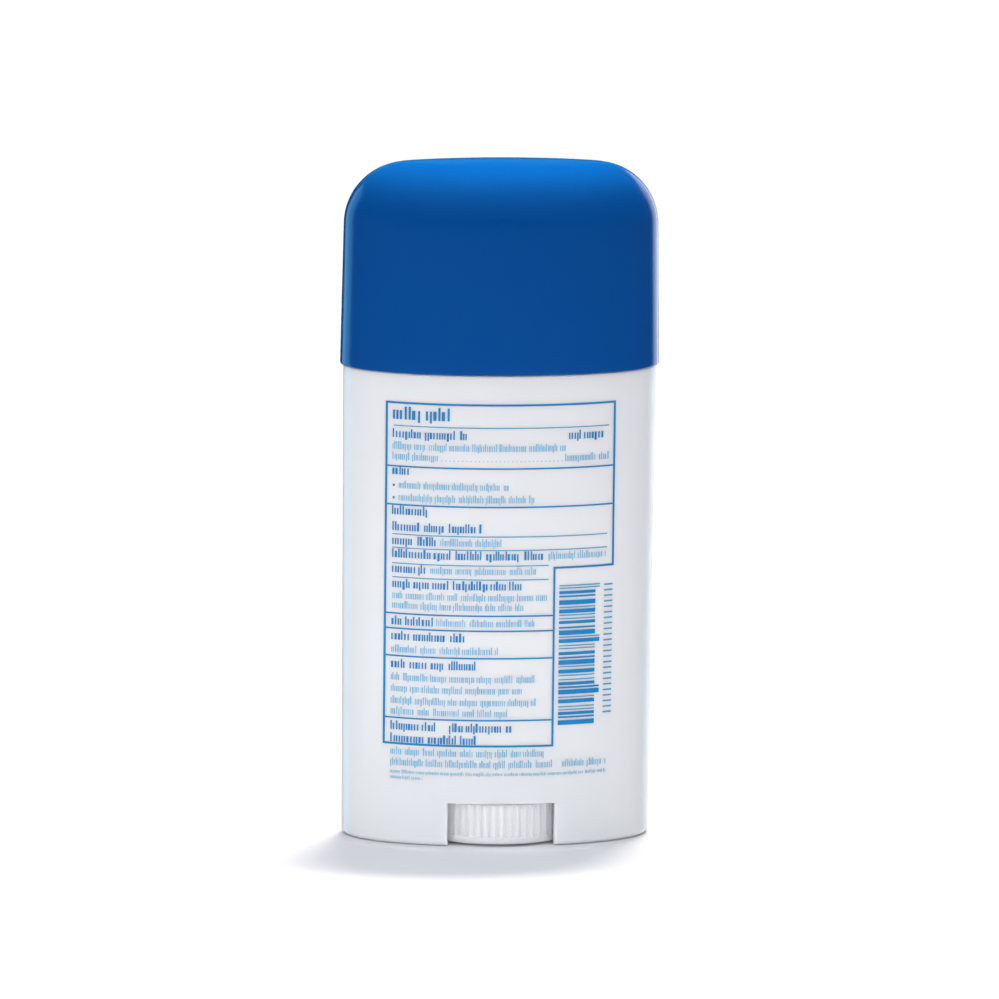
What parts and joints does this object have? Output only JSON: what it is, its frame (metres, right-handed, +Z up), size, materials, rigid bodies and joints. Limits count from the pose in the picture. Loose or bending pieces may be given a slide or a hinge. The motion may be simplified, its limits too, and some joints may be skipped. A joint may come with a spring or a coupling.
{
  "type": "deodorant stick",
  "caption": "Twist-up deodorant stick: white oval barrel with a glossy blue overcap, a ribbed thumbwheel in the base and a domed white stick on a screw-driven platform",
  "frame": {"origin": "middle of the base, on the surface that the foot stands on", "axes": "+Z up along the screw, X along the long axis of the oval, the printed front faces -Y"},
  "size_m": [0.061, 0.0326, 0.1305],
  "materials": {
    "cap_blue": "deep blue moulded plastic with a high gloss",
    "barrel_white": "cool white moulded plastic, satin to semi-gloss",
    "wheel_white": "white moulded plastic, satin",
    "platform_white": "white moulded plastic, unpolished",
    "stick_wax": "opaque white waxy solid, soft sheen"
  },
  "bodies": {
    "barrel": {"barrel": "barrel_white"},
    "wheel": {"thumbwheel": "wheel_white"},
    "carrier": {"platform": "platform_white", "product_stick": "stick_wax"},
    "cap": {"cap": "cap_blue"}
  },
  "joints": [
    {"name": "wheel_turn", "type": "hinge", "parent": "barrel", "child": "wheel", "pos_m": [0, 0, 0.0105], "axis": [0, 0, -1], "range_deg": [0, 4680]},
    {"name": "stick_lift", "type": "slide", "parent": "barrel", "child": "carrier", "axis": [0, 0, 1], "range_m": [0, 0.052]},
    {"name": "cap_off", "type": "slide", "parent": "carrier", "child": "cap", "axis": [0, 0, 1], "range_m": [0, 0.045]}
  ],
  "couplings": [
    {"joint": "wheel_turn", "follows": "stick_lift", "rad_per_m": 1570.8}
  ]
}
